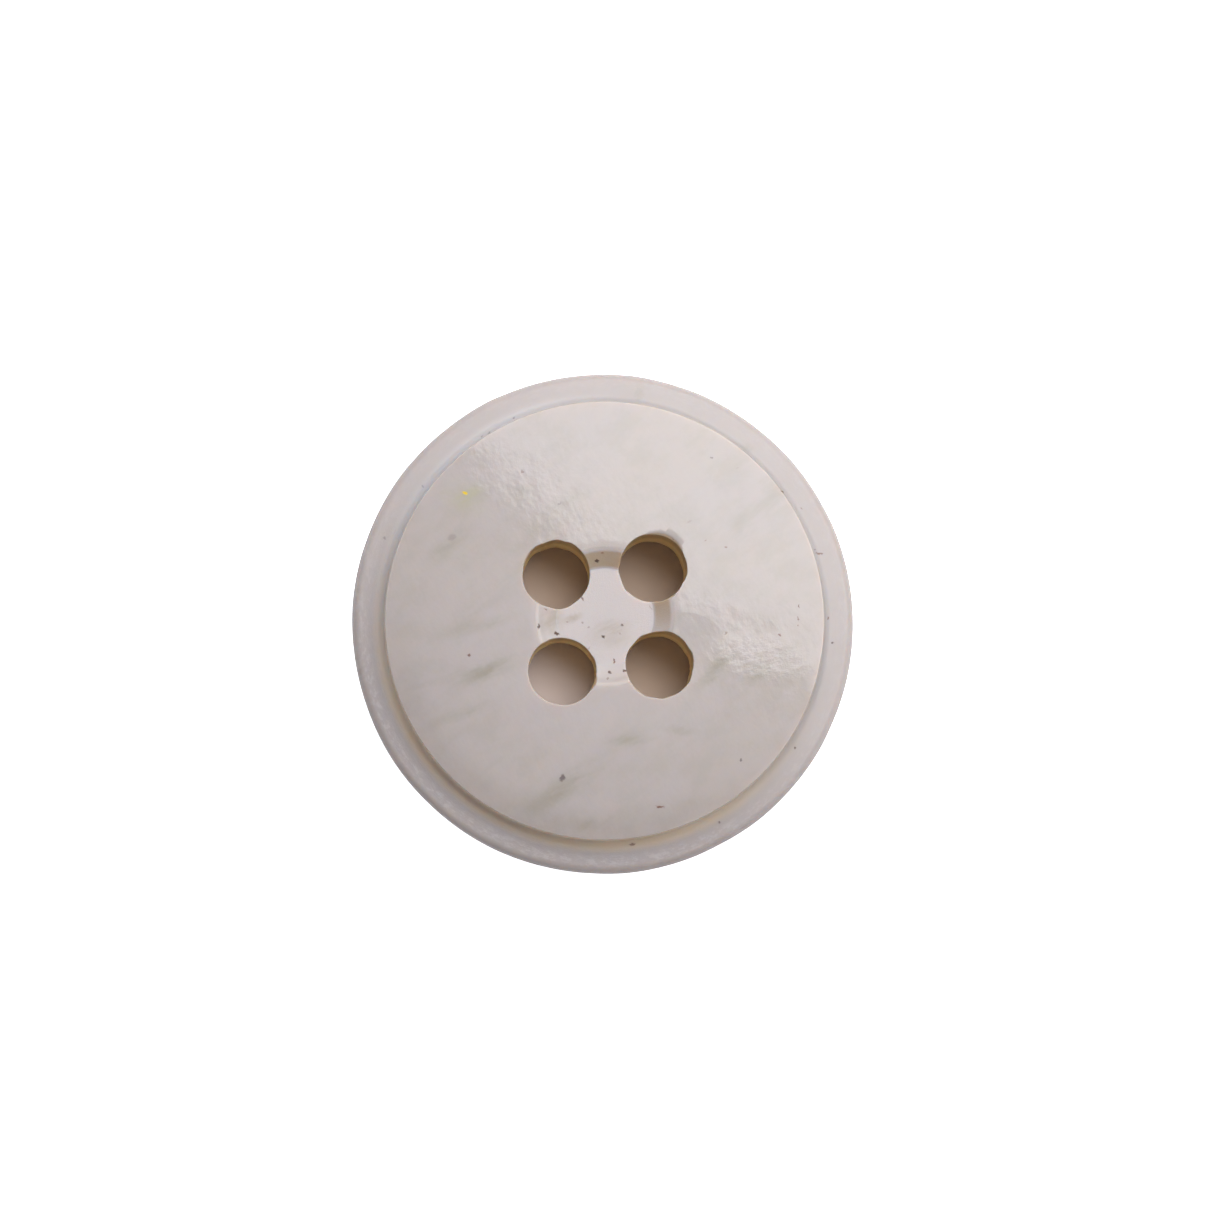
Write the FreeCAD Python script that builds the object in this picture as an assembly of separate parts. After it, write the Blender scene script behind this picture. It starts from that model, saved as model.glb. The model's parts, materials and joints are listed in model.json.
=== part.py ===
"""A four-hole sew-on button, turned and drilled from one slice of ox bone.

The button lies on its flat back. Its origin is the centre of the back face, +Z points out of the
front face, and the sides of the square of thread holes run along X and Y. Lengths are millimetres.

From the centre outwards the front has a round thread well with a sloping wall, a shallow polished
dome, a step down and a narrow matt rim with a rounded outer edge. Four holes go right through, with
their centres on the edge of the well. A bone button is turned from a single blank and has no other
piece, so the whole button is one solid.
"""

import FreeCAD, Part
import math
import os

OUTER_DIAMETER = 18.0  # 28 ligne, a jacket or cuff size
BACK_EDGE_ROUND = 0.95

RIM_HEIGHT = 1.85
RIM_FALL = 0.15  # how much lower the rim is at its outer edge than at the step
RIM_EDGE_ROUND = 0.35

STEP_FOOT_RADIUS = 7.88
STEP_FOOT_ROUND = 0.30
STEP_TOP_RADIUS = 7.83
STEP_TOP_HEIGHT = 2.50
STEP_EDGE_ROUND = 0.05

DOME_RADIUS = 46.0  # radius of the sphere that the polished face is part of

WELL_EDGE_RADIUS = 2.42
WELL_SHOULDER_ROUND = 0.30
WELL_FLOOR_RADIUS = 1.74
WELL_FLOOR_HEIGHT = 2.66
WELL_CORNER_ROUND = 0.08

HOLE_DIAMETER = 2.4
HOLE_SPACING = 3.45  # side of the square that the hole centres make
PATTERN_OFFSET_X = 0.13  # the square is drilled by eye and sits a little off the turning axis
BACK_COUNTERSINK = 0.15

AXIS = FreeCAD.Vector(0, 0, 1)
ORIGIN = FreeCAD.Vector(0, 0, 0)


def on_profile(radius, height):
    """A point of the half section, which lies in the XZ plane."""
    return FreeCAD.Vector(radius, 0, height)


def on_dome(radius):
    """The point of the half section on the polished dome at a distance from the axis."""
    centre_height = STEP_TOP_HEIGHT - math.sqrt(DOME_RADIUS**2 - STEP_TOP_RADIUS**2)
    return on_profile(radius, centre_height + math.sqrt(DOME_RADIUS**2 - radius**2))


def along_dome(radius, towards):
    """A point a little way along the dome's tangent, inwards or outwards, from the dome's edge."""
    slope = -radius / math.sqrt(DOME_RADIUS**2 - radius**2)
    return on_dome(radius) + on_profile(towards, towards * slope)


def rounded(before, corner, after, radius):
    """The start, middle and end of the arc that rounds the corner between two straight runs."""
    to_before = (before - corner).normalize()
    to_after = (after - corner).normalize()
    half_angle = to_before.getAngle(to_after) / 2
    reach = radius / math.tan(half_angle)
    bisector = (to_before + to_after).normalize()
    middle = corner + bisector * (radius / math.sin(half_angle) - radius)
    return corner + to_before * reach, middle, corner + to_after * reach


def half_section():
    """The outline that the lathe cuts, closed along the axis, with its corners rounded."""
    outer = OUTER_DIAMETER / 2
    back_centre = on_profile(0, 0)
    back_corner = on_profile(outer, 0)
    rim_corner = on_profile(outer, RIM_HEIGHT - RIM_FALL)
    foot_corner = on_profile(STEP_FOOT_RADIUS, RIM_HEIGHT)
    step_corner = on_profile(STEP_TOP_RADIUS, STEP_TOP_HEIGHT)
    well_corner = on_dome(WELL_EDGE_RADIUS)
    floor_corner = on_profile(WELL_FLOOR_RADIUS, WELL_FLOOR_HEIGHT)
    floor_centre = on_profile(0, WELL_FLOOR_HEIGHT)

    back = rounded(back_centre, back_corner, rim_corner, BACK_EDGE_ROUND)
    rim = rounded(back_corner, rim_corner, foot_corner, RIM_EDGE_ROUND)
    foot = rounded(rim_corner, foot_corner, step_corner, STEP_FOOT_ROUND)
    step = rounded(foot_corner, step_corner, along_dome(STEP_TOP_RADIUS, -1), STEP_EDGE_ROUND)
    shoulder = rounded(
        along_dome(WELL_EDGE_RADIUS, 1), well_corner, floor_corner, WELL_SHOULDER_ROUND
    )
    floor = rounded(well_corner, floor_corner, floor_centre, WELL_CORNER_ROUND)

    dome_start = on_dome(step[2].x)
    dome_middle = on_dome((STEP_TOP_RADIUS + WELL_EDGE_RADIUS) / 2)
    dome_end = on_dome(shoulder[0].x)
    curves = [
        Part.LineSegment(back_centre, back[0]),
        Part.Arc(*back),
        Part.LineSegment(back[2], rim[0]),
        Part.Arc(*rim),
        Part.LineSegment(rim[2], foot[0]),
        Part.Arc(*foot),
        Part.LineSegment(foot[2], step[0]),
        Part.Arc(step[0], step[1], dome_start),
        Part.Arc(dome_start, dome_middle, dome_end),
        Part.Arc(dome_end, shoulder[1], shoulder[2]),
        Part.LineSegment(shoulder[2], floor[0]),
        Part.Arc(*floor),
        Part.LineSegment(floor[2], floor_centre),
        Part.LineSegment(floor_centre, back_centre),
    ]
    return Part.Face(Part.Wire([curve.toShape() for curve in curves]))


def turned_blank():
    """The lathe work: the half section turned about the axis."""
    return half_section().revolve(ORIGIN, AXIS, 360)


def hole_centres():
    """The four corners of the square of thread holes, on the back face."""
    half = HOLE_SPACING / 2
    return [
        FreeCAD.Vector(PATTERN_OFFSET_X + across * half, along * half, 0)
        for across in (-1, 1)
        for along in (-1, 1)
    ]


def drill_at(centre):
    """What the drill takes out at one centre: the hole and its countersink in the back."""
    radius = HOLE_DIAMETER / 2
    clear = 1.0
    hole = Part.makeCylinder(
        radius, on_dome(0).z + 2 * clear, centre - AXIS * clear, AXIS
    )
    countersink = Part.makeCone(
        radius + 2 * BACK_COUNTERSINK,
        radius,
        2 * BACK_COUNTERSINK,
        centre - AXIS * BACK_COUNTERSINK,
        AXIS,
    )
    return hole.fuse(countersink)


def button_body():
    """The finished button: the turned blank with its four holes drilled."""
    button = turned_blank()
    for centre in hole_centres():
        button = button.cut(drill_at(centre))
    return button


def print_facts(name, solid):
    """Prints what tells a sound solid from a broken one."""
    box = solid.optimalBoundingBox(True, False)
    print(name, "valid", solid.isValid(), "solids", len(solid.Solids), "faces", len(solid.Faces))
    print("  size mm", [round(side, 3) for side in (box.XLength, box.YLength, box.ZLength)])
    print("  volume mm3", round(solid.Volume, 2))


def main():
    """Writes the button as one STEP file."""
    os.makedirs("parts", exist_ok=True)
    body = button_body()
    print_facts("button_body", body)
    body.exportStep("parts/button_body.step")


main()
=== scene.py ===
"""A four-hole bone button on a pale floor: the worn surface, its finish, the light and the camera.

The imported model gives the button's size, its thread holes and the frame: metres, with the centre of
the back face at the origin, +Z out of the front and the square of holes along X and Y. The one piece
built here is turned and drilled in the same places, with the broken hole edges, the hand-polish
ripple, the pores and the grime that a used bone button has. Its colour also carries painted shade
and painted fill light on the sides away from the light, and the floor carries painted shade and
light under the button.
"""

import json
import logging
import math
import random
from collections.abc import Callable, Mapping, Sequence
from dataclasses import dataclass
from enum import Enum
from functools import cached_property
from typing import Any

import bmesh
import bpy
from mathutils import Matrix, Vector


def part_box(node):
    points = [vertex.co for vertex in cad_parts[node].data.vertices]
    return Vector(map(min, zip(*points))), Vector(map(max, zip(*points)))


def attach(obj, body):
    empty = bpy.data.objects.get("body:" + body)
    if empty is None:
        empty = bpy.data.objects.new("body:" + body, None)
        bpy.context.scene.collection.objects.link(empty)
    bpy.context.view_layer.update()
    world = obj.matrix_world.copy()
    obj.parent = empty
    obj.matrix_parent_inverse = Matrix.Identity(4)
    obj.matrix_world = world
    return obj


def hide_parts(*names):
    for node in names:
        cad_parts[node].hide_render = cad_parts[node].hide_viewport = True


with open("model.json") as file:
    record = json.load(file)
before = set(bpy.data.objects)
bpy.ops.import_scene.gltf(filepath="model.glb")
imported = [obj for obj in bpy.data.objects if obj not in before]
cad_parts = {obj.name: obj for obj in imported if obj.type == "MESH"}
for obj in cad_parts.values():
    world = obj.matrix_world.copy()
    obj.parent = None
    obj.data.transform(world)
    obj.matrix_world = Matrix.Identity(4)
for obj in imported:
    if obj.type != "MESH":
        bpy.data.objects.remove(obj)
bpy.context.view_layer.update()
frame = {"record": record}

LOG = logging.getLogger("bone_button")
MM = 0.001
CAD_NODE = "button_body"

Point = tuple[float, float]
Colour = tuple[float, float, float]


# ---------------------------------------------------------------- bench work


def rest_tools() -> None:
    """Leaves edit mode and deselects every object."""
    if bpy.context.object and bpy.context.object.mode != "OBJECT":
        bpy.ops.object.mode_set(mode="OBJECT")
    bpy.ops.object.select_all(action="DESELECT")


def take_up(piece: bpy.types.Object) -> None:
    """Makes one object the only selected one, and the active one.

    Args:
        piece: the object to work on.
    """
    rest_tools()
    piece.select_set(True)
    bpy.context.view_layer.objects.active = piece


def move_vertices(piece: bpy.types.Object, moved: Callable[[Vector], Sequence[float]]) -> None:
    """Moves the vertices of the object that is in edit mode.

    Args:
        piece: the object in edit mode.
        moved: gives a vertex's new place from its old one.
    """
    mesh = bmesh.from_edit_mesh(piece.data)
    for vertex in mesh.verts:
        vertex.co = moved(vertex.co)
    bmesh.update_edit_mesh(piece.data)


def apply_modifier(piece: bpy.types.Object, kind: str, settings: Mapping[str, Any]) -> None:
    """Adds a modifier to an object, sets it and applies it.

    Args:
        piece: the object that is changed.
        kind: the modifier's type.
        settings: its settings by name.
    """
    take_up(piece)
    bpy.ops.object.modifier_add(type=kind)
    modifier = piece.modifiers[-1]
    for name, setting in settings.items():
        setattr(modifier, name, setting)
    bpy.ops.object.modifier_apply(modifier=modifier.name)


def mm(length: float) -> float:
    """Returns a length that is in metres, as the frame has it, in millimetres."""
    return length / MM


# ---------------------------------------------------------------- the outline


def rounded(before: Point, corner: Point, after: Point, radius: float, steps: int) -> list[Point]:
    """Rounds a corner between two straight stretches.

    Args:
        before: a point on the stretch that comes in.
        corner: the sharp corner.
        after: a point on the stretch that leaves.
        radius: the radius of the arc.
        steps: how many chords the arc is made of.

    Returns:
        The points of the arc, from the stretch that comes in to the one that leaves.
    """
    tip = Vector(corner)
    come = (Vector(before) - tip).normalized()
    leave = (Vector(after) - tip).normalized()
    half_angle = come.angle(leave) / 2
    centre = tip + (come + leave).normalized() * (radius / math.sin(half_angle))
    reach = radius / math.tan(half_angle)
    first = tip + come * reach - centre
    last = tip + leave * reach - centre
    sweep = math.remainder(math.atan2(last.y, last.x) - math.atan2(first.y, first.x), math.tau)
    points = []
    for step in range(steps + 1):
        turn = Matrix.Rotation(sweep * step / steps, 2)
        spot = centre + turn @ first
        points.append((spot.x, spot.y))
    return points


def divided(start: Point, end: Point, pitch: float) -> list[Point]:
    """Divides a straight stretch evenly.

    Args:
        start: where it starts.
        end: where it ends.
        pitch: the longest step.

    Returns:
        The points strictly between the two ends.
    """
    count = max(1, math.ceil(math.dist(start, end) / pitch))
    return [
        (start[0] + (end[0] - start[0]) * i / count, start[1] + (end[1] - start[1]) * i / count)
        for i in range(1, count)
    ]


def uneven(seed: int, count: int) -> Callable[[float], float]:
    """Makes the unevenness of something round, which is a chain of short flats.

    Args:
        seed: which chain.
        count: how many flats go round.

    Returns:
        A function of the angle in radians, from -1 to 1.
    """
    dice = random.Random(seed)
    corners = [(i + dice.uniform(-0.35, 0.35), dice.uniform(-1, 1)) for i in range(count)]
    chain = [(corners[-1][0] - count, corners[-1][1]), *corners, (corners[0][0] + count, corners[0][1])]

    def out_of_true(angle: float) -> float:
        """Returns how far a round thing is out of true at an angle."""
        turn = angle / math.tau % 1 * count
        for (start, low), (end, high) in zip(chain, chain[1:]):
            if start <= turn <= end:
                return low + (high - low) * (turn - start) / (end - start)
        return 0.0

    return out_of_true


def eased(value: float, start: float, end: float) -> float:
    """Returns 0 at the start and 1 at the end, with a smooth rise between them."""
    share = min(1.0, max(0.0, (value - start) / (end - start)))
    return share * share * (3 - 2 * share)


@dataclass(frozen=True)
class TurnedOutline:
    """The half section that the lathe cuts, as radius and height from the centre of the back."""

    outer_radius: float
    back_edge_round: float = 0.95 * MM
    rim_height: float = 1.85 * MM
    rim_fall: float = 0.15 * MM
    rim_edge_round: float = 0.35 * MM
    step_foot_radius: float = 7.88 * MM
    step_foot_round: float = 0.30 * MM
    step_top_radius: float = 7.83 * MM
    step_top_height: float = 2.50 * MM
    step_edge_round: float = 0.05 * MM
    dome_radius: float = 46.0 * MM
    well_edge_radius: float = 2.42 * MM
    well_shoulder_round: float = 0.30 * MM
    well_floor_radius: float = 1.74 * MM
    well_floor_height: float = 2.66 * MM
    well_corner_round: float = 0.08 * MM
    fine_pitch: float = 0.11 * MM
    coarse_pitch: float = 0.24 * MM
    drilled_radius: float = 3.9 * MM  # the fine pitch is used inside this, where the holes are
    face_throw: Point = (0.045 * MM, 0.035 * MM)  # how far off the rim's centre the face was turned
    well_throw: Point = (0.05 * MM, 0.12 * MM)

    def dome_height(self, radius: float) -> float:
        """Returns the height of the polished dome, without the well, at a radius."""
        centre = self.step_top_height - math.sqrt(self.dome_radius**2 - self.step_top_radius**2)
        return centre + math.sqrt(self.dome_radius**2 - radius**2)

    def rim(self) -> list[Point]:
        """Returns the points of the back edge, the outer edge and the rim."""
        centre = (0.0, 0.0)
        back = (self.outer_radius, 0.0)
        front = (self.outer_radius, self.rim_height - self.rim_fall)
        foot = (self.step_foot_radius, self.rim_height)
        edge = rounded(centre, back, front, self.back_edge_round, 14)
        shoulder = rounded(back, front, foot, self.rim_edge_round, 10)
        return (
            edge
            + divided(edge[-1], shoulder[0], self.fine_pitch)
            + shoulder
        )

    def face(self) -> list[Point]:
        """Returns the points of the step, the dome and the well, from the rim inwards to the axis."""
        front = (self.outer_radius, self.rim_height - self.rim_fall)
        foot = (self.step_foot_radius, self.rim_height)
        top = (self.step_top_radius, self.step_top_height)
        dome_edge = (self.well_edge_radius, self.dome_height(self.well_edge_radius))
        floor_corner = (self.well_floor_radius, self.well_floor_height)
        axis = (0.0, self.well_floor_height)
        on_dome = (self.step_top_radius - MM, self.dome_height(self.step_top_radius - MM))
        off_dome = (self.well_edge_radius + MM, self.dome_height(self.well_edge_radius + MM))
        foot_arc = rounded(front, foot, top, self.step_foot_round, 9)
        top_arc = rounded(foot, top, on_dome, self.step_edge_round, 6)
        shoulder_arc = rounded(off_dome, dome_edge, floor_corner, self.well_shoulder_round, 8)
        corner_arc = rounded(dome_edge, floor_corner, axis, self.well_corner_round, 4)
        dome = []
        radius = top_arc[-1][0]
        while radius > shoulder_arc[0][0] + self.fine_pitch * 1.5:
            radius -= self.coarse_pitch if radius > self.drilled_radius else self.fine_pitch
            dome.append((radius, self.dome_height(radius)))
        return (
            foot_arc
            + divided(foot_arc[-1], top_arc[0], self.fine_pitch)
            + top_arc
            + dome
            + shoulder_arc
            + divided(shoulder_arc[-1], corner_arc[0], self.fine_pitch)
            + corner_arc
            + divided(corner_arc[-1], axis, self.fine_pitch)
            + [axis]
        )

    @cached_property
    def front_chords(self) -> list[tuple[Point, Point]]:
        """The chords of the front that lead inwards, each as its outer and its inner end."""
        stations = self.face()
        return [(a, b) for a, b in zip(stations, stations[1:]) if a[0] > b[0]]

    def points(self) -> list[Point]:
        """Returns the whole outline, from the axis at the back round to the axis at the front."""
        rim = self.rim()
        face = self.face()
        drilled = (self.drilled_radius, 0.0)
        return (
            [(0.0, 0.0)]
            + divided((0.0, 0.0), drilled, self.fine_pitch)
            + [drilled]
            + divided(drilled, rim[0], self.coarse_pitch)
            + rim
            + divided(rim[-1], face[0], self.fine_pitch)
            + face
        )

    def surface(self, radius: float) -> float:
        """Finds the height of the front at a radius.

        Args:
            radius: the distance from the axis.

        Returns:
            The height of the front surface there.
        """
        for (outer, high), (inner, low) in self.front_chords:
            if inner <= radius <= outer:
                return low + (high - low) * (radius - inner) / (outer - inner)
        return self.rim_height

    def front(self, x: float, y: float) -> float:
        """Returns the height of the front at a place on the button."""
        return self.surface(math.hypot(x - self.well_throw[0], y - self.well_throw[1]))

    def thrown(self, place: Vector) -> Vector:
        """Finds where a place on a true blank lies on one whose face and well were turned off centre.

        Args:
            place: the place on the true blank.

        Returns:
            The shifted place.
        """
        if place.z < self.rim_height - self.rim_fall:
            return place
        radius = place.xy.length
        face_share = eased(radius, 8.8 * MM, self.step_foot_radius + self.step_foot_round)
        well_share = eased(radius, self.step_top_radius - 0.4 * MM, self.well_edge_radius + 0.8 * MM)
        face, well = Vector((*self.face_throw, 0)), Vector((*self.well_throw, 0))
        return place + face_share * face + well_share * (well - face)


# ---------------------------------------------------------------- thread holes


@dataclass(frozen=True)
class Chip:
    """A flake broken out of a hole's front edge."""

    bearing: float  # degrees round the hole from +X
    spread: float  # half its width, in degrees
    width: float
    depth: float


@dataclass(frozen=True)
class ThreadHole:
    """One drilled hole, with its broken front edge and the countersink at the back."""

    name: str
    x: float
    y: float
    radius: float
    chips: tuple[Chip, ...]
    seed: int
    edge_width: float = 0.03 * MM
    edge_depth: float = 0.035 * MM
    roughness: float = 0.026 * MM
    countersink: float = 0.15 * MM
    segments: int = 150
    wall_rings: int = 9
    flats: int = 24

    def broken(self, angle: float) -> tuple[float, float]:
        """Finds how much of the front edge is broken away.

        Args:
            angle: the place round the hole, in radians from +X.

        Returns:
            The width and the depth of the broken edge there.
        """
        width, depth = self.edge_width, self.edge_depth
        for chip in self.chips:
            away = abs(math.remainder(angle - math.radians(chip.bearing), math.tau))
            share = math.cos(min(1.0, away / math.radians(chip.spread)) * math.pi / 2) ** 0.6
            width = max(width, chip.width * share)
            depth = max(depth, chip.depth * share)
        return width, depth

    def drill(self, outline: TurnedOutline) -> bpy.types.Object:
        """Makes the solid that the drill and the chips take away.

        Args:
            outline: the outline of the button, for the height of the front all round the hole.

        Returns:
            The cutter, standing in its place in the button.
        """
        rest_tools()
        bpy.ops.mesh.primitive_circle_add(
            vertices=self.segments, radius=self.radius, fill_type="NGON", location=(self.x, self.y, 0)
        )
        cutter = bpy.context.object
        cutter.name = f"{self.name}_drill"
        bpy.ops.object.transform_apply(location=True, rotation=False, scale=False)
        rings = self.wall_rings + 5  # two below the wall, two over the broken edge, and the top
        bpy.ops.object.mode_set(mode="EDIT")
        bpy.ops.mesh.select_all(action="SELECT")
        for _ in range(rings - 1):
            bpy.ops.mesh.extrude_region_move(TRANSFORM_OT_translate={"value": (0, 0, MM)})
        out_of_true = uneven(self.seed, self.flats)

        def cut_place(place: Vector) -> tuple[float, float, float]:
            """Returns where a vertex of the plain cylinder goes."""
            ring = round(place.z / MM)
            angle = math.atan2(place.y - self.y, place.x - self.x)
            reach, height = self.ring_place(ring, angle, out_of_true(angle), outline)
            return self.x + reach * math.cos(angle), self.y + reach * math.sin(angle), height

        move_vertices(cutter, cut_place)
        bpy.ops.mesh.select_all(action="SELECT")
        bpy.ops.mesh.normals_make_consistent(inside=False)
        bpy.ops.object.mode_set(mode="OBJECT")
        return cutter

    def ring_place(self, ring: int, angle: float, wobble: float, outline: TurnedOutline) -> Point:
        """Places one vertex of the cutter.

        Args:
            ring: which ring it is in, counted from the back.
            angle: its place round the hole.
            wobble: how far the outline is out of true there.
            outline: the outline of the button.

        Returns:
            Its distance from the hole's axis and its height.
        """
        width, depth = self.broken(angle)
        rough = wobble * self.roughness

        def front(reach: float) -> float:
            """Returns the height of the front at a distance from the hole's axis."""
            return outline.front(self.x + reach * math.cos(angle), self.y + reach * math.sin(angle))

        if ring == 0:
            return self.radius + 2 * self.countersink + rough, -self.countersink
        if ring == 1:
            return self.radius + rough, self.countersink
        edge = front(self.radius) - depth
        if ring <= 1 + self.wall_rings:
            share = (ring - 1) / self.wall_rings
            height = self.countersink + (edge - self.countersink) * share
            return self.radius + rough * (0.4 + 0.6 * share**3), height
        if ring == 2 + self.wall_rings:
            reach = self.radius + 0.35 * width + rough
            return reach, front(reach) - 0.45 * depth
        if ring == 3 + self.wall_rings:
            reach = self.radius + width * (1 + 0.35 * wobble) + rough
            return reach, front(reach) + 0.02 * MM
        return self.radius + 2.2 * width, 4.0 * MM


@dataclass
class BoneButton:
    """The button: turned from a slice of bone, drilled, tumbled and polished by hand."""

    outline: TurnedOutline
    holes: list[ThreadHole]
    segments: int = 480
    edge_wear: Callable[[float], float] = uneven(5, 40)
    edge_roughness: float = 0.03 * MM
    nicks: tuple[float, ...] = (math.radians(12), math.radians(135), math.radians(158))
    nick_depth: float = 0.04 * MM

    def turn_blank(self) -> bpy.types.Object:
        """Turns the undrilled blank.

        Returns:
            The blank as a closed mesh.
        """
        rest_tools()
        bpy.ops.mesh.primitive_plane_add(size=MM)
        blank = bpy.context.object
        blank.name = "bone_button"
        bpy.ops.object.mode_set(mode="EDIT")
        bpy.ops.mesh.select_all(action="SELECT")
        bpy.ops.mesh.merge(type="CENTER")
        stations = self.outline.points()
        for (radius, height), (next_radius, next_height) in zip(stations, stations[1:]):
            move = (next_radius - radius, 0, next_height - height)
            bpy.ops.mesh.extrude_vertices_move(TRANSFORM_OT_translate={"value": move})
        bpy.ops.object.mode_set(mode="OBJECT")
        turned = {"axis": "Z", "angle": math.tau, "steps": self.segments, "render_steps": self.segments}
        merged = {"use_merge_vertices": True, "merge_threshold": 0.002 * MM}
        apply_modifier(blank, "SCREW", turned | merged)
        bpy.ops.object.mode_set(mode="EDIT")
        bpy.ops.mesh.select_all(action="SELECT")
        bpy.ops.mesh.remove_doubles(threshold=0.002 * MM)
        bpy.ops.mesh.normals_make_consistent(inside=False)
        move_vertices(blank, self.outline.thrown)
        move_vertices(blank, self.worn)
        bpy.ops.object.mode_set(mode="OBJECT")
        return blank

    def worn(self, place: Vector) -> Vector:
        """Returns where a place on the outer edge lies now that the edge is worn a little out of round."""
        angle = math.atan2(place.y, place.x)
        share = eased(place.xy.length, 8.2 * MM, 8.8 * MM) * (1 - self.edge_wear(angle)) / 2
        nick = sum(math.exp(-((math.remainder(angle - at, math.tau) / 0.02) ** 2)) for at in self.nicks)
        inwards = share * (self.edge_roughness + nick * self.nick_depth)
        return place - Vector((math.cos(angle), math.sin(angle), 0)) * inwards

    def drill_holes(self, blank: bpy.types.Object) -> None:
        """Drills every thread hole.

        Args:
            blank: the turned blank.
        """
        for hole in self.holes:
            cutter = hole.drill(self.outline)
            cut = {"operation": "DIFFERENCE", "solver": "MANIFOLD", "object": cutter}
            apply_modifier(blank, "BOOLEAN", cut)
            bpy.data.objects.remove(cutter)

    def build(self) -> bpy.types.Object:
        """Builds the whole button.

        Returns:
            The finished piece.
        """
        blank = self.turn_blank()
        LOG.info("blank: %d vertices", len(blank.data.vertices))
        self.drill_holes(blank)
        LOG.info("drilled: %d vertices", len(blank.data.vertices))
        take_up(blank)
        bpy.ops.object.shade_smooth_by_angle(angle=math.radians(40))
        return blank


# ---------------------------------------------------------------- shader maths


class Value:
    """A number on a shader socket. Arithmetic on it adds Math nodes."""

    def __init__(self, bench: "ShaderBench", socket: bpy.types.NodeSocket) -> None:
        """Wraps an output socket.

        Args:
            bench: the material's bench, which adds the nodes.
            socket: the output socket.
        """
        self.bench = bench
        self.socket = socket

    def maths(self, operation: str, *operands: "Value | float") -> "Value":
        """Adds one Math node.

        Args:
            operation: the node's operation.
            operands: its inputs in order.

        Returns:
            The node's result.
        """
        node = self.bench.node("ShaderNodeMath", {"operation": operation}, dict(enumerate(operands)))
        return Value(self.bench, node.outputs[0])

    def __add__(self, other: "Value | float") -> "Value":
        """Returns self + other."""
        return self.maths("ADD", self, other)

    def __radd__(self, other: float) -> "Value":
        """Returns other + self."""
        return self.maths("ADD", other, self)

    def __sub__(self, other: "Value | float") -> "Value":
        """Returns self - other."""
        return self.maths("SUBTRACT", self, other)

    def __rsub__(self, other: float) -> "Value":
        """Returns other - self."""
        return self.maths("SUBTRACT", other, self)

    def __mul__(self, other: "Value | float") -> "Value":
        """Returns self * other."""
        return self.maths("MULTIPLY", self, other)

    def __rmul__(self, other: float) -> "Value":
        """Returns other * self."""
        return self.maths("MULTIPLY", other, self)

    def __truediv__(self, other: "Value | float") -> "Value":
        """Returns self / other."""
        return self.maths("DIVIDE", self, other)

    def __abs__(self) -> "Value":
        """Returns the size of self."""
        return self.maths("ABSOLUTE", self)

    def least(self, other: "Value | float") -> "Value":
        """Returns the smaller of self and other."""
        return self.maths("MINIMUM", self, other)

    def most(self, other: "Value | float") -> "Value":
        """Returns the larger of self and other."""
        return self.maths("MAXIMUM", self, other)

    def hypot(self, other: "Value") -> "Value":
        """Returns the root of the sum of the two squares."""
        return (self * self + other * other).maths_of("SQRT")

    def maths_of(self, operation: str) -> "Value":
        """Returns the result of a Math operation on self alone."""
        return self.maths(operation, self)

    def rise(self, low: float, high: float) -> "Value":
        """Returns 0 below low and 1 above high, with a smooth rise between them."""
        sockets = {"Value": self, "From Min": low, "From Max": high, "To Min": 0.0, "To Max": 1.0}
        node = self.bench.node("ShaderNodeMapRange", {"interpolation_type": "SMOOTHSTEP"}, sockets)
        return Value(self.bench, node.outputs[0])

    def fall(self, low: float, high: float) -> "Value":
        """Returns 1 below low and 0 above high, with a smooth fall between them."""
        return 1 - self.rise(low, high)

    def band(self, low: float, high: float, soft: float) -> "Value":
        """Returns 1 between low and high and 0 outside, with soft edges."""
        return self.rise(low - soft, low + soft) * self.fall(high - soft, high + soft)


def facing(x: Value, y: Value, distance: Value, bearing: float) -> Value:
    """Finds how much a place lies to one side of a centre.

    Args:
        x: how far it is from the centre along +X.
        y: how far it is from the centre along +Y.
        distance: how far it is from the centre.
        bearing: the direction of the side, in degrees from +X.

    Returns:
        1 on that side, 0 square to it and -1 on the side across from it.
    """
    turn = math.radians(bearing)
    return (x * math.cos(turn) + y * math.sin(turn)) / distance


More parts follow.
